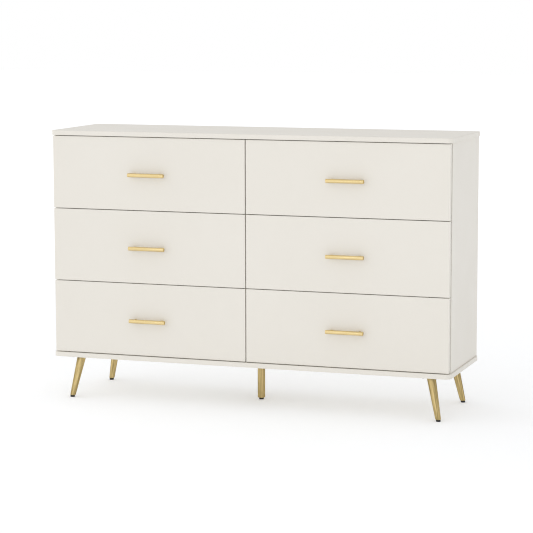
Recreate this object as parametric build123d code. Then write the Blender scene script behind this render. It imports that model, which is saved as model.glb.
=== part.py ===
from build123d import *
import os

os.makedirs("parts", exist_ok=True)

# A low dresser: two columns of three drawers between a top and a bottom slab,
# on four splayed corner legs and one upright centre leg.
# X runs to the right, Y to the back, Z up. The origin is on the floor, under the middle of the whole piece.

# Case, in millimetres
case_width = 1390.0
case_depth = 380.0
case_height = 920.0
slab_overhang = 5.0
slab_thickness = 16.0
slab_corner_radius = 18.0
slab_edge_radius = 1.5
leg_height = 144.0
panel_thickness = 16.0
panel_edge_radius = 1.2
front_stand_off = 4.4
back_thickness = 4.0
rebate_width = 8.0

# Drawers
rows = ("bottom", "middle", "top")
columns = {"left": -1, "right": 1}
front_thickness = 16.0
front_gap = 2.4
centre_gap = 3.4
front_inset = 2.0
front_edge_radius = 1.0
box_side_thickness = 15.0
box_side_height = 170.0
box_lift = 22.0
box_length = 345.0
bottom_thickness = 4.0
bottom_lift = 10.0
groove_depth = 6.0
groove_play = 0.1

# Pulls
pull_length = 128.0
pull_radius = 6.5
pull_stand_off = 18.5
pull_height = 119.0
post_radius = 5.0
post_spacing = 96.0

# Runners
runner_space = 13.0
runner_length = 340.0
runner_height = 35.0
runner_sheet = 1.2
runner_flange = 9.0
runner_play = 1.8
runner_lift = 85.0

# Legs
leg_inset_left = 50.5
leg_inset_right = 39.5
leg_inset_y = 22.0
leg_lean_x = 0.211
leg_lean_y = 0.122
leg_top_radius = 14.7
leg_foot_radius = 9.1
centre_leg_offset = -12.0
centre_leg_radius = 12.6
glide_height = 6.0
glide_radius = 7.8
plate_size = 60.0
plate_thickness = 2.5
stud_radius = 4.0
stud_length = 22.0
plate_screw_spacing = 44.0

# Fittings
fit = 0.1
cam_radius = 7.4
cam_length = 12.0
cam_distance = 34.0
bolt_radius = 3.0
bolt_grip = 10.0
dowel_radius = 4.0
dowel_grip = 10.0
dowel_reach = 20.0
dowel_spacing = 32.0
fitting_inset = 50.0

# Derived places
y_face = -(case_depth + slab_overhang - (pull_stand_off + pull_radius)) / 2
y_back = y_face + case_depth
y_panel = y_face + front_thickness + front_stand_off
y_front_back = y_face + front_thickness
y_box_back = y_front_back + box_length
x_case = case_width / 2
x_inner = x_case - panel_thickness
x_divider = panel_thickness / 2
z_floor_slab = leg_height + slab_thickness
z_top_slab = case_height - slab_thickness
front_height = (z_top_slab - z_floor_slab - 4 * front_gap) / 3
front_width = (case_width - centre_gap) / 2 - front_inset
box_width = x_inner - x_divider - 2 * runner_space
z_plate = leg_height - plate_thickness

UP = (0, 0, 1)
DOWN = (0, 0, -1)
BACK = (0, 1, 0)
FRONT = (0, -1, 0)


def block(x, y, z):
    """A square-edged board between three pairs of limits."""
    limits = (x, y, z)
    middle = [(low + high) / 2 for low, high in limits]
    size = [abs(high - low) for low, high in limits]
    return Pos(*middle) * Box(*size)


def rod(start, direction, radius, length):
    """A round bar, or the drill for it, from its start point along a direction."""
    place = Plane(origin=start, z_dir=direction)
    return place * Cylinder(radius, length, align=(Align.CENTER, Align.CENTER, Align.MIN))


def along(start, direction, distance):
    """The point at a distance from a start point."""
    return tuple(Vector(*start) + Vector(*direction) * distance)


def screw(face, direction, radius, length, head_radius, head_height):
    """A pan-head screw whose head sits on a face and whose shank runs along a direction."""
    head = rod(face, tuple(-Vector(*direction)), head_radius, head_height)
    rim = head.faces().sort_by(Axis(face, direction))[0].edges()
    return chamfer(rim, head_height * 0.35) + rod(face, direction, radius, length)


def save(name, *solids):
    """Writes one node, either a single piece or a group of like pieces."""
    pieces = [piece for solid in solids for piece in solid.solids()]
    shape = pieces[0] if len(pieces) == 1 else Compound(children=pieces)
    export_step(shape, f"parts/{name}.step")


# Every piece collects the holes that its fasteners need, and is drilled when all are known.
drilled = {}
case_screws = []
cam_fittings = []
dowels = []


def drill(piece, *cutters):
    drilled.setdefault(piece, []).extend(cutters)


def add_screw(group, board, face, direction, radius, length, head_radius, head_height, through=()):
    """Adds a screw, its pilot hole in a board, and a clear hole in each sheet that it holds."""
    group.append(screw(face, direction, radius, length, head_radius, head_height))
    drill(board, rod(face, direction, radius + fit / 2, length + 1))
    for sheet in through:
        drill(sheet, rod(face, direction, radius + fit, length))


def add_cam(group, panel, slab, end, direction, cam_axis, face_distance):
    """Adds a cam and its bolt: the bolt grips the slab and runs down the middle of the panel's end."""
    inward = tuple(-Vector(*direction))
    group.append(rod(along(end, direction, bolt_grip), inward, bolt_radius, bolt_grip + cam_distance - 1))
    drill(slab, rod(end, direction, bolt_radius + fit / 2, bolt_grip + 0.5))
    drill(panel, rod(end, inward, bolt_radius + 0.3, cam_distance))
    centre = along(end, inward, cam_distance)
    mouth = along(centre, cam_axis, -face_distance)
    cam = rod(mouth, cam_axis, cam_radius, cam_length)
    group.append(cam - rod(end, inward, bolt_radius + fit, cam_distance))
    drill(panel, rod(mouth, cam_axis, cam_radius + fit, cam_length + 0.2))


def add_dowel(panel, slab, end, direction):
    """Adds a wooden dowel across the joint between a panel's end and a slab."""
    inward = tuple(-Vector(*direction))
    dowels.append(rod(along(end, direction, dowel_grip), inward, dowel_radius, dowel_grip + dowel_reach))
    drill(slab, rod(end, direction, dowel_radius + fit / 2, dowel_grip + 0.5))
    drill(panel, rod(end, inward, dowel_radius + fit / 2, dowel_reach + 0.5))


# Slabs
def make_slab(z):
    """The top or the bottom slab: a lacquered board with round corners and softened edges."""
    x = x_case + slab_overhang
    board = block((-x, x), (y_face - slab_overhang, y_back + slab_overhang), (z, z + slab_thickness))
    board = fillet(board.edges().filter_by(Axis.Z), slab_corner_radius)
    rims = board.faces().sort_by(Axis.Z)[0].edges() + board.faces().sort_by(Axis.Z)[-1].edges()
    return fillet(rims, slab_edge_radius)


# Upright panels
def make_side(side):
    """A side panel with eased outer edges, rebated along its back edge for the back panel."""
    x_out = side * x_case
    x_in = side * x_inner
    panel = block((x_in, x_out), (y_panel, y_back), (z_floor_slab, z_top_slab))
    outer_face = panel.faces().sort_by(Axis.X)[-1 if side > 0 else 0]
    panel = fillet(outer_face.edges(), panel_edge_radius)
    rebate = block(
        (x_in, x_in + side * rebate_width),
        (y_back - back_thickness - fit, y_back),
        (z_floor_slab, z_top_slab),
    )
    return panel - rebate


def make_divider():
    """The upright between the two columns of drawers."""
    return block((-x_divider, x_divider), (y_panel, y_back - back_thickness - fit), (z_floor_slab, z_top_slab))


def make_back(side):
    """A thin back panel, from the side panel's rebate to the middle of the divider."""
    return block(
        (side * 0.3, side * (x_inner + rebate_width - 0.3)),
        (y_back - back_thickness, y_back),
        (z_floor_slab + 0.3, z_top_slab - 0.3),
    )


def fit_case_joints():
    """Cams, bolts and dowels between the three uprights and the two slabs."""
    uprights = {
        "left_side_panel": (-x_case + panel_thickness / 2, (-1, 0, 0)),
        "centre_divider": (0.0, (-1, 0, 0)),
        "right_side_panel": (x_case - panel_thickness / 2, (1, 0, 0)),
    }
    ends = {"top_slab": (z_top_slab, UP), "bottom_slab": (z_floor_slab, DOWN)}
    places = {y_panel + fitting_inset: 1, y_back - fitting_inset: -1}
    for panel, (x, cam_axis) in uprights.items():
        for slab, (z, direction) in ends.items():
            for y, inward in places.items():
                add_cam(cam_fittings, panel, slab, (x, y, z), direction, cam_axis, panel_thickness / 2)
                add_dowel(panel, slab, (x, y + inward * dowel_spacing, z), direction)


def fit_back_screws():
    """Small screws that hold the back panels to the side panels and the divider."""
    count = 6
    first = z_floor_slab + 40
    step = (z_top_slab - z_floor_slab - 80) / (count - 1)
    for name, side in columns.items():
        edges = {f"{name}_side_panel": x_inner + rebate_width / 2, "centre_divider": x_divider / 2}
        for board, x in edges.items():
            for i in range(count):
                face = (side * x, y_back, first + i * step)
                add_screw(case_screws, board, face, FRONT, 1.5, 16.0, 3.0, 1.2, (f"{name}_back_panel",))


# Legs
def leg_axis(side, end):
    """The foot point of a corner leg's axis, and the direction of the axis."""
    y_foot = y_face + leg_inset_y if end < 0 else y_back - leg_inset_y
    inset = leg_inset_left if side < 0 else leg_inset_right
    foot = (side * (x_case - inset), y_foot, 0)
    lean = Vector(-side * leg_lean_x, -end * leg_lean_y, 1)
    return foot, tuple(lean.normalized()), lean.length


def make_corner_leg(side, end):
    """A tapered leg, cut level at the plate and at the glide."""
    foot, direction, slope = leg_axis(side, end)
    length = z_plate * slope
    spare = 12.0
    taper = (leg_top_radius - leg_foot_radius) / length
    place = Plane(origin=along(foot, direction, -spare), z_dir=direction)
    cone = place * Cone(
        leg_foot_radius - taper * spare,
        leg_top_radius + taper * spare,
        length + 2 * spare,
        align=(Align.CENTER, Align.CENTER, Align.MIN),
    )
    wide = 400
    middle = along(foot, direction, length / 2)
    level = block(
        (middle[0] - wide, middle[0] + wide),
        (middle[1] - wide, middle[1] + wide),
        (glide_height, z_plate),
    )
    leg = cone & level
    leg = fillet(leg.faces().sort_by(Axis.Z)[0].edges(), 1.2)
    top = along(foot, direction, length)
    down = tuple(-Vector(*direction))
    leg -= rod(along(top, down, -5), down, stud_radius + fit, stud_length + 6)
    leg -= rod(foot, direction, stud_radius + fit, 18)
    return leg


def make_centre_leg(x, y):
    """The straight leg under the middle of the case."""
    leg = rod((x, y, glide_height), UP, centre_leg_radius, z_plate - glide_height)
    leg = fillet(leg.faces().sort_by(Axis.Z)[0].edges(), 2.5)
    leg -= rod((x, y, z_plate), DOWN, stud_radius + fit, stud_length + 1)
    leg -= rod((x, y, 0), UP, stud_radius + fit, 18)
    return leg


def make_glide(foot, direction):
    """A black foot: a disc on the floor with a plug that pushes into the leg."""
    centre = along(foot, direction, glide_height / 2)
    disc = rod((centre[0], centre[1], 0), UP, glide_radius, glide_height)
    disc = chamfer(disc.faces().sort_by(Axis.Z)[0].edges(), 0.8)
    plug = rod(along(foot, direction, glide_height - 1), direction, stud_radius, 12)
    return disc + plug


def make_plate(top, down):
    """A steel plate with four screw holes and the stud that the leg turns onto."""
    half = plate_size / 2
    x, y, z = top
    plate = block((x - half, x + half), (y - half, y + half), (z_plate, leg_height))
    plate = fillet(plate.edges().filter_by(Axis.Z), 6)
    return plate + rod((x, y, z_plate), down, stud_radius, stud_length)


def fit_legs():
    """Makes the five legs with their glides, plates and plate screws."""
    legs = {}
    for end_name, end in {"front": -1, "back": 1}.items():
        for side_name, side in columns.items():
            foot, direction, slope = leg_axis(side, end)
            legs[f"{end_name}_{side_name}_leg"] = (make_corner_leg(side, end), foot, direction, slope)
    x, y = centre_leg_offset, (y_face + y_back) / 2
    legs["centre_leg"] = (make_centre_leg(x, y), (x, y, 0), UP, 1.0)
    glides = []
    plates = []
    for name, (leg, foot, direction, slope) in legs.items():
        save(name, leg)
        glides.append(make_glide(foot, direction))
        top = along(foot, direction, z_plate * slope)
        plate = make_plate(top, tuple(-Vector(*direction)))
        half = plate_screw_spacing / 2
        for dx in (-half, half):
            for dy in (-half, half):
                face = (top[0] + dx, top[1] + dy, z_plate)
                plate -= rod(along(face, DOWN, 1), UP, 2.1, plate_thickness + 2)
                case_screws.append(screw(face, UP, 2.0, 15.0, 4.0, 2.0))
                drill("bottom_slab", rod((face[0], face[1], leg_height), UP, 2.0 + fit / 2, 13.0))
        plates.append(plate)
    save("leg_glides", *glides)
    save("leg_plates", *plates)


# Runners
def make_channel(x_wall, side, y, z_middle, height, flange):
    """A U-shaped runner member, with its web on a wall and its flanges pointing off it."""
    z = (z_middle - height / 2, z_middle + height / 2)
    outer = block((x_wall, x_wall + side * flange), y, z)
    hollow = block(
        (x_wall + side * runner_sheet, x_wall + side * (flange + 1)),
        y,
        (z[0] + runner_sheet, z[1] - runner_sheet),
    )
    return outer - hollow


def make_runner_pair(group, wall_name, x_wall, side, z_box):
    """One runner: the case member on a wall, and the drawer member that faces it."""
    z_middle = z_box + runner_lift
    y_case = y_panel + 6
    case_member = make_channel(x_wall, side, (y_case, y_case + runner_length), z_middle, runner_height, runner_flange)
    for distance in (30.0, runner_length - 30.0):
        face = (x_wall + side * runner_sheet, y_case + distance, z_middle)
        direction = (-side, 0, 0)
        group.append(screw(face, direction, 1.75, 7.0, 3.4, 1.2))
        case_member -= rod(face, direction, 1.75 + fit, 5)
        drill(wall_name, rod((x_wall, face[1], z_middle), direction, 1.75 + fit / 2, 7.0))
    inner_height = runner_height - 2 * (runner_sheet + runner_play)
    y_drawer = y_panel + 2
    x_box = x_wall + side * runner_space
    drawer_member = make_channel(
        x_box, -side, (y_drawer, y_drawer + runner_length), z_middle, inner_height, runner_flange
    )
    return case_member, drawer_member


# Drawers
def make_pull(x, z):
    """A round bar on two posts."""
    y_bar = y_face - pull_stand_off
    bar = rod((x - pull_length / 2, y_bar, z), (1, 0, 0), pull_radius, pull_length)
    bar = chamfer(bar.edges().filter_by(GeomType.CIRCLE), 0.5)
    core = rod((x - pull_length / 2, y_bar, z), (1, 0, 0), pull_radius, pull_length)
    posts = []
    for dx in (-post_spacing / 2, post_spacing / 2):
        post = rod((x + dx, y_face, z), FRONT, post_radius, pull_stand_off) - core
        posts.append(post - rod((x + dx, y_face, z), FRONT, 2.0 + fit / 2, 9.0))
    return [bar, *posts]


def make_drawer(name, side, z_low):
    """One drawer: a full-overlay front, a grooved box, its bottom, pull, fittings and runner members."""
    z_box = z_low + box_lift
    x_front = side * (centre_gap + front_width) / 2
    x_box = side * (x_inner + x_divider) / 2
    half_box = box_width / 2
    half_inside = half_box - box_side_thickness
    z_top = z_box + box_side_height
    z_groove = z_box + bottom_lift
    groove = (z_groove, z_groove + bottom_thickness + 2 * groove_play)
    x_groove = (x_box - half_inside - groove_depth, x_box + half_inside + groove_depth)

    front = block(
        (x_front - front_width / 2, x_front + front_width / 2),
        (y_face, y_front_back),
        (z_low, z_low + front_height),
    )
    front = fillet(front.edges(), front_edge_radius)
    front -= block(x_groove, (y_front_back - groove_depth, y_front_back + 1), groove)

    pieces = {}
    for hand in (-1, 1):
        x_out = x_box + hand * half_box
        x_in = x_box + hand * half_inside
        board = block((x_in, x_out), (y_front_back, y_box_back), (z_box, z_top))
        board = fillet(board.edges().filter_by(Axis.Y).sort_by(Axis.Z)[-2:], 1.5)
        pieces[hand] = board - block((x_in, x_in + hand * groove_depth), (y_front_back, y_box_back), groove)

    z_back = z_groove + bottom_thickness + groove_play
    y_back_board = y_box_back - box_side_thickness
    back = block(
        (x_box - half_inside + fit / 2, x_box + half_inside - fit / 2),
        (y_back_board, y_box_back),
        (z_back, z_top),
    )
    bottom = block(
        (x_groove[0] + 0.5, x_groove[1] - 0.5),
        (y_front_back - groove_depth + 0.5, y_box_back),
        (z_groove + groove_play, z_back),
    )

    fittings = []
    for hand, board in pieces.items():
        x_middle = x_box + hand * (half_inside + box_side_thickness / 2)
        for z in (z_box + 45, z_top - 30):
            end = (x_middle, y_front_back, z)
            add_cam(fittings, f"{name}_{hand}", f"{name}_front", end, FRONT, (hand, 0, 0), box_side_thickness / 2)
        for z in (z_box + 35, z_top - 25):
            start = (x_box + hand * half_box, y_box_back - box_side_thickness / 2, z)
            inward = (-hand, 0, 0)
            fittings.append(rod(start, inward, 3.5, 4.0) + rod(start, inward, 2.5, 45.0))
            drill(f"{name}_{hand}", rod(start, inward, 3.5 + fit, 4.1), rod(start, inward, 2.5 + fit, 20))
            drill(f"{name}_back", rod(start, inward, 2.5 + fit / 2, 46.0))
    for dx in (-half_inside * 0.6, 0, half_inside * 0.6):
        face = (x_box + dx, y_box_back - box_side_thickness / 2, z_groove + groove_play)
        add_screw(fittings, f"{name}_back", face, UP, 1.5, 18.0, 3.0, 1.2, (f"{name}_bottom",))
    z_pull = z_low + pull_height
    for dx in (-post_spacing / 2, post_spacing / 2):
        face = (x_front + dx, y_front_back, z_pull)
        add_screw(fittings, f"{name}_front", face, FRONT, 2.0, front_thickness + 8.0, 4.2, 2.4)

    runners = []
    walls = {"centre_divider": (side * x_divider, side), f"{name.split('_')[1]}_side_panel": (side * x_inner, -side)}
    for wall_name, (x_wall, away) in walls.items():
        case_member, drawer_member = make_runner_pair(case_screws, wall_name, x_wall, away, z_box)
        case_runners.append(case_member)
        hand = 1 if x_wall > x_box else -1
        for distance in (40.0, runner_length - 40.0):
            y = y_panel + 2 + distance
            face = (x_box + hand * (half_box + runner_sheet), y, z_box + runner_lift)
            inward = (-hand, 0, 0)
            fittings.append(screw(face, inward, 1.75, 11.0, 3.4, 1.2))
            drawer_member -= rod(face, inward, 1.75 + fit, 5)
            drill(f"{name}_{hand}", rod(face, inward, 1.75 + fit / 2, 12.0))
        runners.append(drawer_member)

    save(f"{name}_front", front - drilled[f"{name}_front"])
    save(f"{name}_sides", *(board - drilled[f"{name}_{hand}"] for hand, board in pieces.items()))
    save(f"{name}_back", back - drilled[f"{name}_back"])
    save(f"{name}_bottom", bottom - drilled[f"{name}_bottom"])
    save(f"{name}_pull", *make_pull(x_front, z_pull))
    save(f"{name}_fittings", *fittings)
    save(f"{name}_runners", *runners)


case_runners = []
fit_case_joints()
fit_back_screws()
fit_legs()
for row_number, row in enumerate(rows):
    for column, column_side in columns.items():
        z_drawer = z_floor_slab + front_gap + row_number * (front_height + front_gap)
        make_drawer(f"{row}_{column}_drawer", column_side, z_drawer)

save("bottom_slab", make_slab(leg_height) - drilled["bottom_slab"])
save("top_slab", make_slab(z_top_slab) - drilled["top_slab"])
save("centre_divider", make_divider() - drilled["centre_divider"])
for column, column_side in columns.items():
    save(f"{column}_side_panel", make_side(column_side) - drilled[f"{column}_side_panel"])
    save(f"{column}_back_panel", make_back(column_side) - drilled[f"{column}_back_panel"])
save("case_runners", *case_runners)
save("case_screws", *case_screws)
save("cam_fittings", *cam_fittings)
save("wooden_dowels", *dowels)
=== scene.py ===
from math import pi, radians, sqrt

import bpy
from mathutils import Matrix, Vector


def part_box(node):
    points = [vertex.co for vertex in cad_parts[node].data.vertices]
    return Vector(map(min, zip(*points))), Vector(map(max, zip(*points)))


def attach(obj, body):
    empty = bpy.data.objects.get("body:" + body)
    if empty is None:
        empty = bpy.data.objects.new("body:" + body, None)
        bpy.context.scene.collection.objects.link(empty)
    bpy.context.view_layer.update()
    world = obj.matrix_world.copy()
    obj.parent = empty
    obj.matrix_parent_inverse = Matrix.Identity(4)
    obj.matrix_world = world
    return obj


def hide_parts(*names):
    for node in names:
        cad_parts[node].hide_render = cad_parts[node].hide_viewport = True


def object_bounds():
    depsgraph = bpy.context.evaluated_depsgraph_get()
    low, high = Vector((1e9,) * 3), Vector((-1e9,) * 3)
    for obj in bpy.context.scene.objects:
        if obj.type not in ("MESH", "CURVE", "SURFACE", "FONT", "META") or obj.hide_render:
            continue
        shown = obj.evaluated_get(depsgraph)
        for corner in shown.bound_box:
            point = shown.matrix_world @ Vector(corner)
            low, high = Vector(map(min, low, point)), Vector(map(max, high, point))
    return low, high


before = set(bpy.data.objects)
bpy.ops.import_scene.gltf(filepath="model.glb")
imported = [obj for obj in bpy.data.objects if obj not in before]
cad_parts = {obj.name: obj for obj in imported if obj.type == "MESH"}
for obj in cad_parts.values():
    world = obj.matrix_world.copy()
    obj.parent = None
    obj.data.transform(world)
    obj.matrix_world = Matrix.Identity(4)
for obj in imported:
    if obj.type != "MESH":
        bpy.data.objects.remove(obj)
cad_low, cad_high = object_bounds()

# Camera
# It stands in front and to the right of the dresser, a little higher than its top, and looks slightly down.
# A long lens keeps the uprights nearly parallel.
camera_place = Vector((2.24402, -6.38782, 1.35111))
camera_yaw = 0.336335
camera_pitch = 0.130868
camera_roll = -0.002024

camera_data = bpy.data.cameras.new("camera")
camera_data.sensor_fit = "HORIZONTAL"
camera_data.sensor_width = 36.0
camera_data.lens = 135.988
camera = bpy.data.objects.new("camera", camera_data)
bpy.context.scene.collection.objects.link(camera)
camera_turn = Matrix.Rotation(camera_yaw, 4, "Z") @ Matrix.Rotation(pi / 2 - camera_pitch, 4, "X")
camera.matrix_world = Matrix.Translation(camera_place) @ camera_turn @ Matrix.Rotation(camera_roll, 4, "Z")
bpy.context.scene.camera = camera
bpy.context.scene.view_settings.view_transform = "Standard"
bpy.context.scene.cycles.filter_width = 1.2

# Studio
# A seamless white floor in a white tent. The tent is brighter above, in front and most of all to the left,
# and one small softbox gives the metal its highlight. The floor glows faintly, so its shadows stay pale.
floor_size = 60.0
floor_white = (0.92, 0.93, 0.945, 1)
floor_roughness = 0.9
floor_gloss = 0.1
floor_glow = 0.18
far_glow = 0.10
glow_starts = 1.3
glow_full = 6.0
tent_light = 0.70
# Each brighter side of the tent: the direction it is in, and its strength.
tent_sides = (((0, 0, 1), 0.09), ((0, -1, 0), 0.225), ((-1, 0, 0), 0.42))


def add_softbox(name, place, aim, width, height, power):
    """A rectangular area light at a place, turned to face a point."""
    light = bpy.data.lights.new(name, "AREA")
    light.shape = "RECTANGLE"
    light.size = width
    light.size_y = height
    light.energy = power
    softbox = bpy.data.objects.new(name, light)
    bpy.context.scene.collection.objects.link(softbox)
    softbox.location = place
    softbox.rotation_euler = (Vector(aim) - Vector(place)).to_track_quat("-Z", "Y").to_euler()


add_softbox("front_softbox", place=(-0.6, -6.0, 2.2), aim=(0.0, 0.0, 0.5), width=2.4, height=0.8, power=12)

world = bpy.data.worlds.new("studio")
bpy.context.scene.world = world
world.use_nodes = True
world_nodes = world.node_tree.nodes
world_links = world.node_tree.links
world_nodes.clear()
world_out = world_nodes.new("ShaderNodeOutputWorld")
world_mix = world_nodes.new("ShaderNodeMixShader")
world_path = world_nodes.new("ShaderNodeLightPath")
world_dim = world_nodes.new("ShaderNodeBackground")
world_white = world_nodes.new("ShaderNodeBackground")
for backdrop in (world_dim, world_white):
    backdrop.inputs["Color"].default_value = (1, 1, 1, 1)
world_place = world_nodes.new("ShaderNodeTexCoord")
light_so_far = None
for direction, strength in tent_sides:
    alignment = world_nodes.new("ShaderNodeVectorMath")
    alignment.operation = "DOT_PRODUCT"
    alignment.inputs[1].default_value = direction
    world_links.new(world_place.outputs["Generated"], alignment.inputs[0])
    lit = world_nodes.new("ShaderNodeMath")
    lit.operation = "MAXIMUM"
    lit.inputs[1].default_value = 0.0
    world_links.new(alignment.outputs["Value"], lit.inputs[0])
    total = world_nodes.new("ShaderNodeMath")
    total.operation = "MULTIPLY_ADD"
    total.inputs[1].default_value = strength
    total.inputs[2].default_value = tent_light
    world_links.new(lit.outputs["Value"], total.inputs[0])
    if light_so_far:
        world_links.new(light_so_far, total.inputs[2])
    light_so_far = total.outputs["Value"]
world_links.new(light_so_far, world_dim.inputs["Strength"])
world_links.new(world_path.outputs["Is Camera Ray"], world_mix.inputs["Fac"])
world_links.new(world_dim.outputs["Background"], world_mix.inputs[1])
world_links.new(world_white.outputs["Background"], world_mix.inputs[2])
world_links.new(world_mix.outputs["Shader"], world_out.inputs["Surface"])

bpy.ops.object.select_all(action="DESELECT")
bpy.ops.mesh.primitive_plane_add(size=floor_size)
floor = bpy.context.object
floor.name = "floor"
floor_paper = bpy.data.materials.new("floor_paper")
floor_paper.use_nodes = True
paper = floor_paper.node_tree.nodes["Principled BSDF"]
paper.inputs["Base Color"].default_value = floor_white
paper.inputs["Roughness"].default_value = floor_roughness
paper.inputs["Specular IOR Level"].default_value = floor_gloss
paper.inputs["Emission Color"].default_value = (1, 1, 1, 1)
floor_tree = floor_paper.node_tree
floor_place = floor_tree.nodes.new("ShaderNodeTexCoord")
floor_distance = floor_tree.nodes.new("ShaderNodeVectorMath")
floor_distance.operation = "LENGTH"
floor_fade = floor_tree.nodes.new("ShaderNodeMapRange")
floor_fade.interpolation_type = "SMOOTHSTEP"
floor_fade.inputs["From Min"].default_value = glow_starts
floor_fade.inputs["From Max"].default_value = glow_full
floor_fade.inputs["To Min"].default_value = floor_glow
floor_fade.inputs["To Max"].default_value = floor_glow + far_glow
floor_tree.links.new(floor_place.outputs["Object"], floor_distance.inputs[0])
floor_tree.links.new(floor_distance.outputs["Value"], floor_fade.inputs["Value"])
floor_tree.links.new(floor_fade.outputs["Result"], paper.inputs["Emission Strength"])
floor.data.materials.append(floor_paper)

# Slabs
# The bottom and the top are 16 mm boards with round corners and eased edges, sprayed all over with off-white
# satin lacquer. The bottom one carries the legs, and both take the bolts and dowels of the uprights.
lacquer_tone = (0.797, 0.765, 0.703, 1)
lacquer_shade = (0.777, 0.743, 0.677, 1)
# The edge tone darkens every edge of the lacquer as painted shade, and the worn spots further as real wear.
lacquer_worn_and_shaded_edge = (0.66, 0.62, 0.55, 1)
edge_width = 0.0016
lacquer_roughness = (0.40, 0.49)
lacquer_gloss = 0.42
painted_edge_shade = 0.42
worn_on_edges = 0.30


def new_group(name, inputs, outputs):
    """An empty node group with named inputs (kind, start value) and named outputs (kind)."""
    group = bpy.data.node_groups.new(name, "ShaderNodeTree")
    for socket_name, (kind, value) in inputs.items():
        socket = group.interface.new_socket(name=socket_name, in_out="INPUT", socket_type=kind)
        if value is not None:
            socket.default_value = value
    for socket_name, kind in outputs.items():
        group.interface.new_socket(name=socket_name, in_out="OUTPUT", socket_type=kind)
    start = group.nodes.new("NodeGroupInput")
    end = group.nodes.new("NodeGroupOutput")
    return group, start, end


def add_math(tree, operation, first, second, clamp=False):
    """A Math node whose two inputs are sockets or plain numbers. Returns its output."""
    node = tree.nodes.new("ShaderNodeMath")
    node.operation = operation
    node.use_clamp = clamp
    for place, value in enumerate((first, second)):
        if isinstance(value, (int, float)):
            node.inputs[place].default_value = value
        else:
            tree.links.new(value, node.inputs[place])
    return node.outputs[0]


def add_range(tree, value, low, high, new_low, new_high):
    """Stretches a value between two limits to two new limits, and holds it there."""
    node = tree.nodes.new("ShaderNodeMapRange")
    tree.links.new(value, node.inputs["Value"])
    for socket, number in zip(("From Min", "From Max", "To Min", "To Max"), (low, high, new_low, new_high)):
        node.inputs[socket].default_value = number
    return node.outputs["Result"]


def add_noise(tree, vector, scale, detail=2.0, rough=0.5):
    """A Noise texture. Its scale is a number or a socket."""
    node = tree.nodes.new("ShaderNodeTexNoise")
    node.inputs["Detail"].default_value = detail
    node.inputs["Roughness"].default_value = rough
    if isinstance(scale, (int, float)):
        node.inputs["Scale"].default_value = scale
    else:
        tree.links.new(scale, node.inputs["Scale"])
    tree.links.new(vector, node.inputs["Vector"])
    return node.outputs["Fac"]


def add_mix(tree, amount, first, second):
    """A colour mix. Each colour is a socket or four numbers."""
    node = tree.nodes.new("ShaderNodeMix")
    node.data_type = "RGBA"
    for place, value in ((0, amount), (6, first), (7, second)):
        if isinstance(value, (int, float, tuple)):
            node.inputs[place].default_value = value
        else:
            tree.links.new(value, node.inputs[place])
    return node.outputs[2]


def make_edge_group():
    """Finds the edges of a piece: Edge is 1 on every edge and 0 on a flat face, for painted shade and
    highlight; Worn is Edge broken up as handling wears it.
    """
    group, start, end = new_group(
        "edge_painted_light_and_wear",
        {"Vector": ("NodeSocketVector", None), "Width": ("NodeSocketFloat", 0.002)},
        {"Edge": "NodeSocketFloat", "Worn": "NodeSocketFloat"},
    )
    rounded = group.nodes.new("ShaderNodeBevel")
    rounded.samples = 6
    group.links.new(start.outputs["Width"], rounded.inputs["Radius"])
    surface = group.nodes.new("ShaderNodeNewGeometry")
    cosine = group.nodes.new("ShaderNodeVectorMath")
    cosine.operation = "DOT_PRODUCT"
    group.links.new(rounded.outputs["Normal"], cosine.inputs[0])
    group.links.new(surface.outputs["Normal"], cosine.inputs[1])
    edge = add_range(group, cosine.outputs["Value"], 0.995, 0.85, 0.0, 1.0)
    spots = add_noise(group, start.outputs["Vector"], 60.0, 3.0, 0.6)
    worn = add_math(group, "MULTIPLY", edge, add_range(group, spots, 0.5, 0.68, 0.0, 1.0))
    group.links.new(edge, end.inputs["Edge"])
    group.links.new(worn, end.inputs["Worn"])
    return group


def make_tone_group():
    """Drifts slowly between two near tones, with a fine fleck over them."""
    group, start, end = new_group(
        "drifting_tone",
        {
            "Vector": ("NodeSocketVector", None),
            "First": ("NodeSocketColor", (1, 1, 1, 1)),
            "Second": ("NodeSocketColor", (0.9, 0.9, 0.9, 1)),
            "Drift": ("NodeSocketFloat", 4.0),
            "Fleck": ("NodeSocketFloat", 900.0),
        },
        {"Colour": "NodeSocketColor", "Fleck": "NodeSocketFloat"},
    )
    drift = add_noise(group, start.outputs["Vector"], start.outputs["Drift"], 3.0, 0.55)
    fleck = add_noise(group, start.outputs["Vector"], start.outputs["Fleck"], 1.0, 0.5)
    amount = add_math(group, "ADD", add_range(group, drift, 0.3, 0.7, 0.0, 0.75),
                      add_range(group, fleck, 0.35, 0.65, 0.0, 0.25), clamp=True)
    group.links.new(
        add_mix(group, amount, start.outputs["First"], start.outputs["Second"]), end.inputs["Colour"]
    )
    group.links.new(fleck, end.inputs["Fleck"])
    return group


edge_group = make_edge_group()
tone_group = make_tone_group()


def place_group(tree, group, values):
    """Puts a group into a material. Each value is a socket, a number or a colour."""
    node = tree.nodes.new("ShaderNodeGroup")
    node.node_tree = group
    for name, value in values.items():
        if isinstance(value, (int, float, tuple)):
            node.inputs[name].default_value = value
        else:
            tree.links.new(value, node.inputs[name])
    return node


def new_material(name):
    """A material with one Principled shader. Returns it, its tree, its shader and its object coordinates."""
    material = bpy.data.materials.new(name)
    material.use_nodes = True
    tree = material.node_tree
    coordinates = tree.nodes.new("ShaderNodeTexCoord")
    return material, tree, tree.nodes["Principled BSDF"], coordinates.outputs["Object"]


def add_bump(tree, shader, height, strength, distance):
    """A Bump node that feeds the shader's normal."""
    bump = tree.nodes.new("ShaderNodeBump")
    bump.inputs["Strength"].default_value = strength
    bump.inputs["Distance"].default_value = distance
    tree.links.new(height, bump.inputs["Height"])
    tree.links.new(bump.outputs["Normal"], shader.inputs["Normal"])


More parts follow.
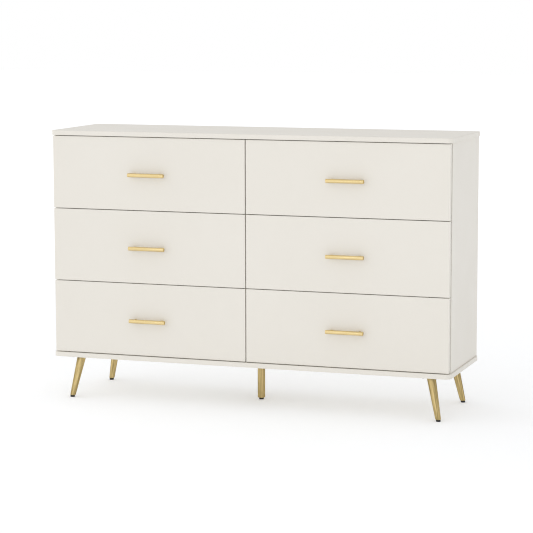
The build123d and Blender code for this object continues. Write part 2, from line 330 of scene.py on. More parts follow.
def make_lacquer():
    """Off-white satin lacquer: a slow drift of tone, a fine orange-peel skin, painted shade along every
    edge, and worn spots on handled edges.
    """
    material, tree, shader, place = new_material("satin_lacquer")
    tone = place_group(tree, tone_group, {
        "Vector": place, "First": lacquer_tone, "Second": lacquer_shade, "Drift": 2.4, "Fleck": 700.0,
    })
    edge = place_group(tree, edge_group, {"Vector": place, "Width": edge_width})
    # Painted shade darkens every edge, and real wear adds to it at the worn spots.
    thin = add_math(tree, "MULTIPLY", edge.outputs["Edge"], painted_edge_shade)
    worn = add_math(tree, "MULTIPLY", edge.outputs["Worn"], worn_on_edges)
    thin = add_math(tree, "ADD", thin, worn)
    colour = add_mix(tree, thin, tone.outputs["Colour"], lacquer_worn_and_shaded_edge)
    tree.links.new(colour, shader.inputs["Base Color"])
    smears = add_noise(tree, place, 9.0, 3.0, 0.6)
    smoother_edge = add_math(tree, "MULTIPLY", edge.outputs["Edge"], -0.05)
    roughness = add_math(tree, "ADD", add_range(tree, smears, 0.3, 0.7, *lacquer_roughness), smoother_edge)
    tree.links.new(roughness, shader.inputs["Roughness"])
    shader.inputs["Specular IOR Level"].default_value = lacquer_gloss
    skin = add_noise(tree, place, 330.0, 2.0, 0.5)
    add_bump(tree, shader, skin, 0.10, 0.0004)
    return material


def paint(material, *nodes):
    """Gives CAD nodes their material."""
    for name in nodes:
        for material_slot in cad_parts[name].material_slots:
            material_slot.material = material


lacquer = make_lacquer()
paint(lacquer, "bottom_slab", "top_slab")

# Uprights
# Two side panels and a centre divider, 16 mm boards in the same lacquer, stand between the slabs.
# The side panels have a rebate along the back edge for the thin back panels.
paint(lacquer, "left_side_panel", "right_side_panel", "centre_divider")
divider_low, divider_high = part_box("centre_divider")
panel_thickness = divider_high.x - divider_low.x

# Cams, bolts and dowels of the case
# Turned zinc cams in the faces of the uprights pull on steel bolts that grip the slabs.
# Ribbed beech dowels beside them keep the boards in line.
zinc_light = (0.66, 0.67, 0.68, 1)
zinc_dark = (0.50, 0.52, 0.54, 1)
zinc_spangle = (0.74, 0.75, 0.76, 1)
zinc_worn = (0.36, 0.36, 0.37, 1)
beech_light = (0.66, 0.49, 0.31, 1)
beech_dark = (0.50, 0.34, 0.19, 1)
cam_segments = 32
slot_length = 0.0088
slot_width = 0.0016
slot_depth = 0.0022
mouth_half = 0.0032
rim_edge = 0.0004
bolt_head = 0.003
bolt_neck_and_collar = 0.0155
rib = 0.0006


def make_zinc():
    """Bright zinc plating: small crystal patches, fine scratches and duller edges."""
    material, tree, shader, place = new_material("bright_zinc")
    patches = tree.nodes.new("ShaderNodeTexVoronoi")
    patches.inputs["Scale"].default_value = 420.0
    tree.links.new(place, patches.inputs["Vector"])
    tone = place_group(tree, tone_group, {
        "Vector": place, "First": zinc_light, "Second": zinc_dark, "Drift": 60.0, "Fleck": 1500.0,
    })
    edge = place_group(tree, edge_group, {"Vector": place, "Width": 0.0008})
    spangle = add_range(tree, patches.outputs["Distance"], 0.0, 0.8, 0.0, 0.35)
    colour = add_mix(tree, spangle, tone.outputs["Colour"], zinc_spangle)
    colour = add_mix(tree, add_math(tree, "MULTIPLY", edge.outputs["Worn"], 0.5), colour, zinc_worn)
    tree.links.new(colour, shader.inputs["Base Color"])
    shader.inputs["Metallic"].default_value = 1.0
    tree.links.new(add_range(tree, tone.outputs["Fleck"], 0.3, 0.7, 0.26, 0.42), shader.inputs["Roughness"])
    add_bump(tree, shader, patches.outputs["Distance"], 0.08, 0.0002)
    return material


def make_beech():
    """Bare beech: grain that runs up the dowel, with the short dark flecks of the wood."""
    material, tree, shader, place = new_material("bare_beech")
    stretch = tree.nodes.new("ShaderNodeMapping")
    stretch.inputs["Scale"].default_value = (900.0, 900.0, 70.0)
    tree.links.new(place, stretch.inputs["Vector"])
    grain = add_noise(tree, stretch.outputs["Vector"], 1.0, 3.0, 0.6)
    edge = place_group(tree, edge_group, {"Vector": place, "Width": 0.0008})
    colour = add_mix(tree, add_range(tree, grain, 0.35, 0.65, 0.0, 1.0), beech_light, beech_dark)
    colour = add_mix(tree, add_math(tree, "MULTIPLY", edge.outputs["Worn"], 0.4), colour, beech_dark)
    tree.links.new(colour, shader.inputs["Base Color"])
    tree.links.new(add_range(tree, grain, 0.3, 0.7, 0.62, 0.78), shader.inputs["Roughness"])
    add_bump(tree, shader, grain, 0.3, 0.0003)
    return material


def activate(piece):
    """Leaves one piece selected, and active."""
    bpy.ops.object.select_all(action="DESELECT")
    piece.select_set(True)
    bpy.context.view_layer.objects.active = piece


def solids_of(node):
    """The lowest and the highest corner of each separate solid in a CAD node."""
    copy = bpy.data.objects.new("solids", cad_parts[node].data.copy())
    bpy.context.scene.collection.objects.link(copy)
    activate(copy)
    bpy.ops.object.mode_set(mode="EDIT")
    bpy.ops.mesh.select_all(action="SELECT")
    bpy.ops.mesh.remove_doubles(threshold=0.000002)
    bpy.ops.mesh.separate(type="LOOSE")
    bpy.ops.object.mode_set(mode="OBJECT")
    boxes = []
    for part in list(bpy.context.selected_objects):
        points = [vertex.co for vertex in part.data.vertices]
        low = Vector([min(point[axis] for point in points) for axis in range(3)])
        high = Vector([max(point[axis] for point in points) for axis in range(3)])
        boxes.append((low, high))
        bpy.data.objects.remove(part, do_unlink=True)
    return sorted(boxes, key=lambda box: tuple(round(value, 5) for value in (*box[0], *box[1])))


def pick(piece, kind, test):
    """Opens a piece for editing with only the faces, or edges, that pass a test of middle and direction."""
    activate(piece)
    bpy.ops.object.mode_set(mode="EDIT")
    bpy.ops.mesh.select_mode(type=kind)
    bpy.ops.mesh.select_all(action="DESELECT")
    bpy.ops.object.mode_set(mode="OBJECT")
    if kind == "FACE":
        for face in piece.data.polygons:
            face.select = test(face.center, face.normal)
    else:
        for edge in piece.data.edges:
            first, second = (piece.data.vertices[index].co for index in edge.vertices)
            edge.select = test((first + second) / 2, (second - first).normalized())
    bpy.ops.object.mode_set(mode="EDIT")


def close_edit():
    bpy.ops.object.mode_set(mode="OBJECT")


def ease(piece, width, segments, test):
    """Rounds the edges that pass a test."""
    pick(piece, "EDGE", test)
    bpy.ops.mesh.bevel(offset=width, segments=segments, affect="EDGES")
    close_edit()


def extrude(distance):
    """Extrudes what is selected by a vector."""
    bpy.ops.mesh.extrude_region_move(TRANSFORM_OT_translate={"value": distance})


def turned(name, radius, length, segments):
    """A round blank on the Z axis, from 0 down to -length, with its transform applied."""
    bpy.ops.object.select_all(action="DESELECT")
    bpy.ops.mesh.primitive_cylinder_add(
        vertices=segments, radius=radius, depth=length, location=(0, 0, -length / 2)
    )
    piece = bpy.context.object
    piece.name = name
    bpy.ops.object.transform_apply(location=True, rotation=True, scale=True)
    return piece


def sawn(name, low, high):
    """A square blank between two corners, with its transform applied."""
    bpy.ops.object.select_all(action="DESELECT")
    bpy.ops.mesh.primitive_cube_add(size=1, location=(Vector(low) + Vector(high)) / 2)
    piece = bpy.context.object
    piece.name = name
    piece.scale = Vector(high) - Vector(low)
    bpy.ops.object.transform_apply(location=True, rotation=True, scale=True)
    return piece


def combine(piece, operation, *others):
    """Cuts other shapes out of a piece, or welds them on, and throws them away."""
    activate(piece)
    for other in others:
        change = piece.modifiers.new("combine", "BOOLEAN")
        change.operation = operation
        change.solver = "EXACT"
        change.object = other
        bpy.ops.object.modifier_apply(modifier=change.name)
        bpy.data.objects.remove(other, do_unlink=True)


def placed(model, matrix):
    """A copy of a model, with its own mesh moved to its place."""
    copy = bpy.data.objects.new(model.name + "_copy", model.data.copy())
    bpy.context.scene.collection.objects.link(copy)
    copy.data.transform(matrix)
    return copy


def joined(name, pieces):
    """Joins copies into one piece."""
    bpy.ops.object.select_all(action="DESELECT")
    for piece in pieces:
        piece.select_set(True)
    bpy.context.view_layer.objects.active = pieces[0]
    if len(pieces) > 1:
        bpy.ops.object.join()
    whole = bpy.context.view_layer.objects.active
    whole.name = name
    whole.data.name = name
    return whole


def clean_mesh(piece):
    """Merges a piece's doubles and turns its faces out."""
    activate(piece)
    bpy.ops.object.mode_set(mode="EDIT")
    bpy.ops.mesh.select_all(action="SELECT")
    bpy.ops.mesh.remove_doubles(threshold=0.000001)
    bpy.ops.mesh.normals_make_consistent(inside=False)
    bpy.ops.object.mode_set(mode="OBJECT")


def finish_piece(piece, material, body, slot, *nodes, angle=35):
    """Cleans and smooths a mesh, gives the piece its material and body, and hides the CAD nodes it stands
    for. The slot is not used.
    """
    clean_mesh(piece)
    bpy.ops.object.shade_smooth_by_angle(angle=radians(angle))
    piece.data.materials.clear()
    piece.data.materials.append(material)
    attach(piece, body)
    if nodes:
        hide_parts(*nodes)


def remove_model(*models):
    """Throws away the blanks that copies were made from."""
    for model in models:
        bpy.data.objects.remove(model, do_unlink=True)


def towards(direction, place):
    """The matrix that points a model's head, on +Z, along a direction, at a place."""
    return Matrix.Translation(place) @ Vector(direction).to_track_quat("Z", "Y").to_matrix().to_4x4()


def make_cam_model(radius, length):
    """A cam with its head at 0: an eased rim, a raised ring, a driver slot and a mouth for the bolt."""
    cam = turned("cam_model", radius, length, cam_segments)
    ease(cam, rim_edge, 2, lambda middle, direction: abs(direction.z) < 0.5)
    pick(cam, "FACE", lambda middle, normal: normal.z > 0.9 and middle.xy.length < radius * 0.3)
    bpy.ops.mesh.inset(thickness=radius * 0.16, depth=-0.0004)
    bpy.ops.mesh.inset(thickness=radius * 0.12, depth=0.0003)
    close_edit()
    half = slot_length / 2
    thin = slot_width / 2
    clear = 0.001
    mouth_low = (-radius * 2, -mouth_half, -length / 2 - mouth_half)
    mouth_high = (0, mouth_half, -length / 2 + mouth_half)
    combine(
        cam,
        "DIFFERENCE",
        sawn("slot_along", (-half, -thin, -slot_depth), (half, thin, clear)),
        sawn("slot_across", (-thin, -half, -slot_depth), (thin, half, clear)),
        sawn("bolt_mouth", mouth_low, mouth_high),
    )
    return cam


def make_bolt_model(radius, length):
    """A cam bolt from its cam end at 0: a round head, a neck, a collar, a plain shank and a ribbed grip."""
    size = 0.95
    bolt = turned("bolt_model", radius * size, bolt_head, 20)
    # Each step is the part of the full radius that it ends at, and its length along the bolt.
    plain = length - bolt_head - bolt_neck_and_collar
    steps = ((0.62, 0.0005), (0.62, 0.0035), (0.95, 0.0005), (0.95, plain))
    ribs = ((0.7, rib), (0.7, rib), (0.98, rib), (0.98, 0.0004)) * 4
    pick(bolt, "FACE", lambda middle, normal: normal.z < -0.9)
    for scale, step in (*steps, *ribs, (0.6, 0.001)):
        extrude((0, 0, -step))
        bpy.ops.transform.resize(value=(scale / size, scale / size, 1))
        size = scale
    close_edit()
    return bolt


zinc = make_zinc()
beech = make_beech()
case_cams = solids_of("cam_fittings")
round_cams = [box for box in case_cams if abs((box[1] - box[0]).y - (box[1] - box[0]).z) < 0.0005]
cam_bolts = [box for box in case_cams if box not in round_cams]
cam_radius = (round_cams[0][1] - round_cams[0][0]).y / 2
cam_length = (round_cams[0][1] - round_cams[0][0]).x
bolt_length = (cam_bolts[0][1] - cam_bolts[0][0]).z
bolt_radius = (cam_bolts[0][1] - cam_bolts[0][0]).x / 2
cam_model = make_cam_model(cam_radius, cam_length)
bolt_model = make_bolt_model(bolt_radius, bolt_length)
made = []
for low, high in round_cams:
    middle = (low + high) / 2
    # A cam's head is level with a face of its upright: the inner face of a side, or a face of the divider.
    on_divider = abs(middle.x) < panel_thickness
    out = (1 if middle.x > 0 else -1) * (1 if on_divider else -1)
    head = Vector((high.x if out > 0 else low.x, middle.y, middle.z))
    made.append(placed(cam_model, towards((out, 0, 0), head)))
for low, high in cam_bolts:
    middle = (low + high) / 2
    up = 1 if middle.z > cad_high.z / 2 else -1
    start = Vector((middle.x, middle.y, low.z if up > 0 else high.z))
    made.append(placed(bolt_model, towards((0, 0, -up), start)))
finish_piece(joined("case_cams", made), zinc, "case", "zinc_steel", "cam_fittings")
remove_model(cam_model, bolt_model)

dowel_boxes = solids_of("wooden_dowels")
dowel_size = dowel_boxes[0][1] - dowel_boxes[0][0]
dowel_edge = 0.0009
rib_width = 0.0002
rib_depth = 0.00018
dowel_model = turned("dowel_model", dowel_size.x / 2, dowel_size.z, 24)
ease(dowel_model, dowel_edge, 2, lambda middle, direction: abs(direction.z) < 0.5)
pick(dowel_model, "FACE", lambda middle, normal: abs(normal.z) < 0.3)
bpy.ops.mesh.inset(thickness=rib_width, depth=-rib_depth, use_individual=True)
close_edit()
made = []
for low, high in dowel_boxes:
    middle = (low + high) / 2
    made.append(placed(dowel_model, Matrix.Translation((middle.x, middle.y, high.z))))
finish_piece(joined("case_dowels", made), beech, "case", "beech", "wooden_dowels")
remove_model(dowel_model)

# Back panels
# Two 4 mm hardboards, faced with off-white foil, close the back of the case.
# They lie in the rebates of the side panels, and are screwed to the uprights.
foil_tone = (0.80, 0.765, 0.70, 1)
foil_shade = (0.765, 0.73, 0.665, 1)
hardboard_brown = (0.33, 0.21, 0.12, 1)


def make_foil():
    """Matt foil on board: a faint linen emboss, tiny pores, and brown board at worn edges."""
    material, tree, shader, place = new_material("foil_on_board")
    tone = place_group(tree, tone_group, {
        "Vector": place, "First": foil_tone, "Second": foil_shade, "Drift": 5.0, "Fleck": 1100.0,
    })
    edge = place_group(tree, edge_group, {"Vector": place, "Width": 0.0009})
    worn = add_math(tree, "MULTIPLY", edge.outputs["Worn"], 0.55)
    tree.links.new(add_mix(tree, worn, tone.outputs["Colour"], hardboard_brown), shader.inputs["Base Color"])
    tree.links.new(add_range(tree, tone.outputs["Fleck"], 0.3, 0.7, 0.54, 0.66), shader.inputs["Roughness"])
    shader.inputs["Specular IOR Level"].default_value = 0.35
    weave = add_noise(tree, place, 620.0, 2.0, 0.6)
    add_bump(tree, shader, weave, 0.22, 0.0003)
    return material


foil = make_foil()
paint(foil, "left_back_panel", "right_back_panel")

# Leg plates
# Pressed steel plates, zinc plated, with a threaded stud riveted in the middle for the leg.
# Four screws hold each up against the bottom slab.
paint(zinc, "leg_plates")

# Legs
# Four tapered, splayed corner legs and a straight one under the middle, steel plated in champagne brass.
# They are brushed along their length, have a rolled lower edge, and screw onto the studs of the plates.
brass_light = (0.69, 0.535, 0.255, 1)
brass_deep = (0.25, 0.185, 0.070, 1)
brass_rim = (0.26, 0.20, 0.10, 1)
leg_segments = 64
foot_radius = 0.0091
top_radius = 0.0147
lean_out = 0.211
lean_deep = 0.122
rolled_edge = 0.0024
rolled_edge_of_centre = 0.0026
top_edge = 0.0004
spare_length = 0.012
leg_streaks_across = 230.0
leg_streaks_along = 6.0
leg_roughness = 0.36
leg_streak_strength = 0.8
near = 0.0001


def make_streak_group():
    """Long fine lines along Z, from brushing: a mask for tone and a height for the bump."""
    group, start, end = new_group(
        "brushed_streaks",
        {
            "Vector": ("NodeSocketVector", None),
            "Across": ("NodeSocketFloat", 260.0),
            "Along": ("NodeSocketFloat", 7.0),
        },
        {"Streak": "NodeSocketFloat", "Fine": "NodeSocketFloat"},
    )
    scale = group.nodes.new("ShaderNodeCombineXYZ")
    group.links.new(start.outputs["Across"], scale.inputs["X"])
    group.links.new(start.outputs["Across"], scale.inputs["Y"])
    group.links.new(start.outputs["Along"], scale.inputs["Z"])
    stretched = group.nodes.new("ShaderNodeVectorMath")
    stretched.operation = "MULTIPLY"
    group.links.new(start.outputs["Vector"], stretched.inputs[0])
    group.links.new(scale.outputs["Vector"], stretched.inputs[1])
    broad = add_noise(group, stretched.outputs["Vector"], 1.0, 3.0, 0.6)
    fine = add_noise(group, stretched.outputs["Vector"], 5.0, 2.0, 0.6)
    group.links.new(add_range(group, broad, 0.36, 0.64, 0.0, 1.0), end.inputs["Streak"])
    group.links.new(fine, end.inputs["Fine"])
    return group


streak_group = make_streak_group()


def make_brass(name, light, deep, rim, turn, across, along, rough, streak_strength):
    """Brushed brass plating whose streaks run along the piece's own axis, which the turn lays on Z, with a
    painted highlight along every edge.
    """
    material, tree, shader, place = new_material(name)
    mapping = tree.nodes.new("ShaderNodeMapping")
    mapping.inputs["Rotation"].default_value = turn
    tree.links.new(place, mapping.inputs["Vector"])
    streaks = place_group(tree, streak_group, {
        "Vector": mapping.outputs["Vector"], "Across": across, "Along": along,
    })
    edge = place_group(tree, edge_group, {"Vector": place, "Width": 0.0012})
    amount = add_math(tree, "MULTIPLY", streaks.outputs["Streak"], streak_strength)
    colour = add_mix(tree, amount, light, deep)
    # A painted highlight lightens every edge of the brass towards a brighter tone.
    painted_edge_highlight = add_math(tree, "MULTIPLY", edge.outputs["Edge"], 0.35)
    edge_highlight_tone = tuple(min(1.0, part * 1.18) for part in light[:3]) + (1,)
    colour = add_mix(tree, painted_edge_highlight, colour, edge_highlight_tone)
    tree.links.new(colour, shader.inputs["Base Color"])
    shader.inputs["Metallic"].default_value = 1.0
    shader.inputs["Specular Tint"].default_value = rim
    roughness = add_range(tree, streaks.outputs["Fine"], 0.3, 0.7, rough - 0.06, rough + 0.07)
    tree.links.new(roughness, shader.inputs["Roughness"])
    add_bump(tree, shader, streaks.outputs["Fine"], 0.16, 0.0002)
    return material


def make_leg(name, side, end):
    """One leg: a round blank, tapered and leaned, sawn level at both ends, and rolled at the foot."""
    box_low, box_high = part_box(name)
    z_foot = box_low.z
    z_top = box_high.z
    if side == 0:
        low_radius = (box_high.x - box_low.x) / 2
        high_radius = low_radius
        roll = rolled_edge_of_centre
        foot = Vector(((box_low.x + box_high.x) / 2, (box_low.y + box_high.y) / 2, z_foot))
        top = Vector((foot.x, foot.y, z_top))
    else:
        low_radius = foot_radius
        high_radius = top_radius
        roll = rolled_edge
        lean = Vector((-side * lean_out, -end * lean_deep, 1.0))
        reach_x = foot_radius * lean.length / sqrt(1 + lean_deep ** 2)
        reach_y = foot_radius * lean.length / sqrt(1 + lean_out ** 2)
        foot_x = (box_low.x if side < 0 else box_high.x) - side * reach_x
        foot_y = (box_low.y if end < 0 else box_high.y) - end * reach_y
        foot = Vector((foot_x, foot_y, z_foot))
        top = foot + lean * (z_top - z_foot)
    axis = top - foot
    length = axis.length
    taper = (high_radius - low_radius) / length
    bpy.ops.object.select_all(action="DESELECT")
    bpy.ops.mesh.primitive_cone_add(
        vertices=leg_segments,
        radius1=low_radius - taper * spare_length,
        radius2=high_radius + taper * spare_length,
        depth=length + 2 * spare_length,
        location=(foot + top) / 2,
        rotation=axis.to_track_quat("Z", "Y").to_euler(),
    )
    leg = bpy.context.object
    leg.name = name + "_tube"
    bpy.ops.object.transform_apply(location=True, rotation=True, scale=True)
    for height, up in ((z_foot, False), (z_top, True)):
        bpy.ops.object.mode_set(mode="EDIT")
        bpy.ops.mesh.select_all(action="SELECT")
        bpy.ops.mesh.bisect(
            plane_co=(0, 0, height), plane_no=(0, 0, 1), use_fill=True, clear_inner=not up, clear_outer=up
        )
        bpy.ops.object.mode_set(mode="OBJECT")
    pick(leg, "EDGE", lambda middle, direction: abs(middle.z - z_foot) < near and abs(direction.z) < 0.1)
    bpy.ops.mesh.bevel(offset=roll, segments=6, affect="EDGES", clamp_overlap=False)
    close_edit()
    pick(leg, "FACE", lambda middle, normal: normal.z < -0.98 and abs(middle.z - z_foot) < 2 * near)
    bpy.ops.mesh.inset(thickness=top_edge)
    close_edit()
    ease(leg, top_edge, 2, lambda middle, direction: abs(middle.z - z_top) < near and abs(direction.z) < 0.1)
    return leg, axis.normalized(), foot


leg_places = {
    "front_left_leg": (-1, -1),
    "front_right_leg": (1, -1),
    "back_left_leg": (-1, 1),
    "back_right_leg": (1, 1),
    "centre_leg": (0, 0),
}
leg_feet = {}
for leg_name, (side, end) in leg_places.items():
    leg, leg_axis, leg_feet[leg_name] = make_leg(leg_name, side, end)
    leg_turn = leg_axis.rotation_difference(Vector((0, 0, 1))).to_euler()
    leg_brass = make_brass(
        "champagne_brass_" + leg_name, brass_light, brass_deep, brass_rim, tuple(leg_turn),
        leg_streaks_across, leg_streaks_along, leg_roughness, leg_streak_strength,
    )
    finish_piece(leg, leg_brass, "case", "brass_plated_legs", leg_name)

# Glides
# A moulded black plastic foot stands under each leg: a disc with eased edges and a dished underside.
# The plug on its top is pushed into the end of the leg.
glide_black = (0.006, 0.006, 0.006, 1)
glide_grey = (0.014, 0.0135, 0.013, 1)
glide_worn = (0.05, 0.048, 0.046, 1)
glide_radius = 0.0078
glide_height = 0.006
plug_radius = 0.0039
plug_length = 0.009
glide_edge = 0.0007


def make_black_plastic():
    """Matt black moulded plastic: a fine spark-eroded skin, greyer where edges rub."""
    material, tree, shader, place = new_material("black_plastic_moulded")
    tone = place_group(tree, tone_group, {
        "Vector": place, "First": glide_black, "Second": glide_grey, "Drift": 90.0, "Fleck": 2500.0,
    })
    edge = place_group(tree, edge_group, {"Vector": place, "Width": 0.0007})
    worn = add_math(tree, "MULTIPLY", edge.outputs["Worn"], 0.6)
    tree.links.new(add_mix(tree, worn, tone.outputs["Colour"], glide_worn), shader.inputs["Base Color"])
    tree.links.new(add_range(tree, tone.outputs["Fleck"], 0.3, 0.7, 0.50, 0.66), shader.inputs["Roughness"])
    add_bump(tree, shader, tone.outputs["Fleck"], 0.25, 0.0002)
    return material


black_plastic = make_black_plastic()
made = []
glide = turned("glide", glide_radius, glide_height, 40)
ease(glide, glide_edge, 3, lambda middle, direction: abs(direction.z) < 0.5)
pick(glide, "FACE", lambda middle, normal: normal.z > 0.9 and middle.xy.length < glide_radius / 4)
bpy.ops.mesh.inset(thickness=glide_radius - glide_edge - plug_radius)
extrude((0, 0, plug_length))
bpy.ops.mesh.bevel(offset=0.0006, segments=2, affect="EDGES")
close_edit()
pick(glide, "FACE", lambda middle, normal: normal.z < -0.9 and middle.xy.length < glide_radius / 4)
bpy.ops.mesh.inset(thickness=0.0016, depth=-0.0004)
close_edit()
for leg_name, (side, end) in leg_places.items():
    leg_foot = leg_feet[leg_name]
    lean = Vector((-side * lean_out, -end * lean_deep, 0))
    centre = leg_foot - lean * (leg_foot.z / 2)
    made.append(placed(glide, Matrix.Translation((centre.x, centre.y, glide_height))))
remove_model(glide)
finish_piece(joined("floor_glides", made), black_plastic, "case", "black_plastic", "leg_glides")

# Screws of the case
# Pan-head steel screws, zinc plated, with a cross recess: four up through each leg plate, two rows down each
# back panel, and two through each case runner.


def make_screw_model(head_radius, head_height, shank_radius, length):
    """A screw with the underside of its head at 0: domed head, cross recess, shank and point."""
    screw = turned("screw_model", head_radius, head_height, 18)
    screw.data.transform(Matrix.Translation((0, 0, head_height)))
    dome = head_height * 0.55
    ease(screw, dome, 3, lambda middle, direction: middle.z > head_height * 0.9 and abs(direction.z) < 0.5)
    pick(screw, "FACE", lambda middle, normal: normal.z < -0.9)
    bpy.ops.mesh.inset(thickness=head_radius - shank_radius)
    extrude((0, 0, -(length - 2 * shank_radius)))
    extrude((0, 0, -2 * shank_radius))
    bpy.ops.transform.resize(value=(0.2, 0.2, 1))
    close_edit()
    reach = head_radius * 0.55
    thin = head_radius * 0.11
    floor_of_cross = head_height * 0.3
    combine(
        screw,
        "DIFFERENCE",
        sawn("cross_along", (-reach, -thin, floor_of_cross), (reach, thin, head_height * 2)),
        sawn("cross_across", (-thin, -reach, floor_of_cross), (thin, reach, head_height * 2)),
    )
    return screw


screw_models = {}
# Each kind of screw by the width of its head: head radius, head height and shank radius.
screw_kinds = {
    0.0080: (0.0040, 0.0020, 0.0020),
    0.0060: (0.0030, 0.0012, 0.0015),
    0.0068: (0.0034, 0.0012, 0.00175),
    0.0084: (0.0042, 0.0024, 0.0020),
    0.0070: (0.0035, 0.0010, 0.0025),
}


def place_screw(low, high, head_direction):
    """A screw in the box of its CAD solid, with its head towards a direction along one axis."""
    size = high - low
    axis = max(range(3), key=lambda number: abs(head_direction[number]))
    across = max(size[number] for number in range(3) if number != axis)
    kind = min(screw_kinds, key=lambda width: abs(width - across))
    head_radius, head_height, shank_radius = screw_kinds[kind]
    length = size[axis] - head_height
    key = (kind, round(length, 4))
    if key not in screw_models:
        screw_models[key] = make_screw_model(head_radius, head_height, shank_radius, length)
    place = (low + high) / 2
    if head_direction[axis] > 0:
        place[axis] = high[axis] - head_height
    else:
        place[axis] = low[axis] + head_height
    return placed(screw_models[key], towards(head_direction, place))


def facing(middle):
    """Which way an upright's fittings face: 1 to the right, -1 to the left."""
    towards_side = 1 if middle.x > 0 else -1
    return towards_side if abs(middle.x) < drawer_middle else -towards_side


plate_screws = []
back_screws = []
runner_screws = []
drawer_middle = abs(sum(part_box("top_right_drawer_front")[number].x for number in (0, 1)) / 2)
for low, high in solids_of("case_screws"):
    size = high - low
    middle = (low + high) / 2
    if size.z > max(size.x, size.y):
        plate_screws.append(place_screw(low, high, (0, 0, -1)))
    elif size.y > max(size.x, size.z):
        back_screws.append(place_screw(low, high, (0, 1, 0)))
    else:
        runner_screws.append(place_screw(low, high, (facing(middle), 0, 0)))
finish_piece(joined("leg_plate_screws", plate_screws), zinc, "case", "zinc_steel", "case_screws")
finish_piece(joined("back_panel_screws", back_screws), zinc, "case", "zinc_steel", "case_screws")
finish_piece(joined("case_runner_screws", runner_screws), zinc, "case", "zinc_steel", "case_screws")

# Case runners
# Rolled steel channels, one each side of every drawer, screwed to the uprights. Their lips hold the balls.
# The sheet is zinc plated, with long slots along the web and a bent stop at the back.
sheet = 0.0012
half_sheet = sheet / 2
case_members = solids_of("case_runners")
runner_low, runner_high = case_members[0]
runner_length = runner_high.y - runner_low.y
case_end = runner_length / 2
case_half = (runner_high.z - runner_low.z) / 2
# Each bend of a channel's flange: how far it goes out from the web, and how far up.
case_steps = (
    (0.0006, 0.0006),
    (0.0010, 0.0003),
    (0.0030, 0.0),
    (0.0024, 0.0),
    (0.0010, -0.0004),
    (0.0003, -0.0012),
)
case_web_half = case_half - half_sheet - 0.0009
case_slot_length = 0.018
case_slot_height = 0.0055
case_slot_places = (-0.100, -0.055, 0.0, 0.055, 0.100)
cutter_reach = 0.003
stop_thickness = 0.0016
stop_reach = 0.0052
stop_edge = 0.0005


def make_channel(name, web_half, steps, length):
    """A rolled channel along Y: a web in the plane X = 0, and both its edges bent by the same steps."""
    bpy.ops.object.select_all(action="DESELECT")
    bpy.ops.mesh.primitive_plane_add(size=1, rotation=(0, pi / 2, 0))
    channel = bpy.context.object
    channel.name = name
    bpy.ops.object.transform_apply(location=True, rotation=True, scale=True)
    channel.scale = (1, length, 2 * web_half)
    bpy.ops.object.transform_apply(location=True, rotation=True, scale=True)
    for up in (1, -1):
        place = Vector((0, 0, up * web_half))
        for out, rise in steps:
            here = place.copy()
            pick(channel, "EDGE", lambda middle, direction: (
                abs(direction.y) > 0.9 and (middle - here).length < near
            ))
            extrude((out, 0, up * rise))
            close_edit()
            place += Vector((out, 0, up * rise))
    thick = channel.modifiers.new("sheet", "SOLIDIFY")
    thick.thickness = sheet
    thick.offset = 0
    thick.use_even_offset = True
    activate(channel)
    bpy.ops.object.modifier_apply(modifier=thick.name)
    return channel


def slot_through(y, length, height):
    """A cutter for a slot with round ends through a web."""
    low = (-cutter_reach, y - length / 2, -height / 2)
    high = (cutter_reach, y + length / 2, height / 2)
    blank = sawn("slot", low, high)
    ease(blank, height * 0.49, 5, lambda middle, direction: abs(direction.x) > 0.9)
    return blank


def handed(model, hand, place):
    """A copy of a channel or cage at a place, mirrored for its side, with its faces turned out again."""
    copy = placed(model, Matrix.Translation(place) @ Matrix.Scale(hand, 4, (1, 0, 0)))
    clean_mesh(copy)
    return copy


case_channel = make_channel("case_channel", case_web_half, case_steps, runner_length)
case_slots = [slot_through(y, case_slot_length, case_slot_height) for y in case_slot_places]
combine(case_channel, "DIFFERENCE", *case_slots)
stop_low = (half_sheet * 0.9, case_end - stop_thickness, -case_web_half)
stop = sawn("stop", stop_low, (stop_reach, case_end, case_web_half))
ease(stop, stop_edge, 2, lambda middle, direction: middle.x > 0.004)
case_channel = joined("case_channel", [case_channel, stop])
made = []
for low, high in case_members:
    middle = (low + high) / 2
    hand = facing(middle)
    wall = low.x if hand > 0 else high.x
    made.append(handed(case_channel, hand, (wall + hand * half_sheet, middle.y, middle.z)))
finish_piece(joined("case_runner_channels", made), zinc, "case", "zinc_steel", "case_runners", angle=50)
remove_model(case_channel)

# Ball cages
# A thin pressed steel strip in the front of each case runner holds two rows of steel balls apart.
# Nothing fixes it: the lips of the case channel keep the balls in.
cage_length = 0.078
cage_sheet = 0.0005
cage_back = 0.0026
cage_front = 0.0085
cage_setback = 0.004
hem = 0.00002
ball_radius = 0.00135
ball_lift = case_half - sheet - ball_radius
ball_reach = 0.0058
balls_in_row = 6
ball_spacing = 0.0125
half_cage = cage_length / 2
cage = sawn("cage_web", (cage_back, -half_cage, -ball_lift), (cage_back + cage_sheet, half_cage, ball_lift))
pick(cage, "FACE", lambda middle, normal: abs(normal.y) > 0.9)
bpy.ops.mesh.inset(thickness=hem)
close_edit()
cage_parts = [cage]
for z in (-ball_lift, ball_lift):
    flange_low = (cage_back, -half_cage, z - cage_sheet / 2)
    flange = sawn("cage_flange", flange_low, (cage_front, half_cage, z + cage_sheet / 2))
    ease(flange, cage_sheet * 0.4, 2, lambda middle, direction: middle.x > 0.008)
    cage_parts.append(flange)
    for number in range(balls_in_row):
        y = (number - (balls_in_row - 1) / 2) * ball_spacing
        bpy.ops.object.select_all(action="DESELECT")
        bpy.ops.mesh.primitive_uv_sphere_add(
            segments=14, ring_count=8, radius=ball_radius, location=(ball_reach, y, z)
        )
        ball = bpy.context.object
        bpy.ops.object.transform_apply(location=True, rotation=True, scale=True)
        cage_parts.append(ball)
cage = joined("cage_model", cage_parts)
made = []
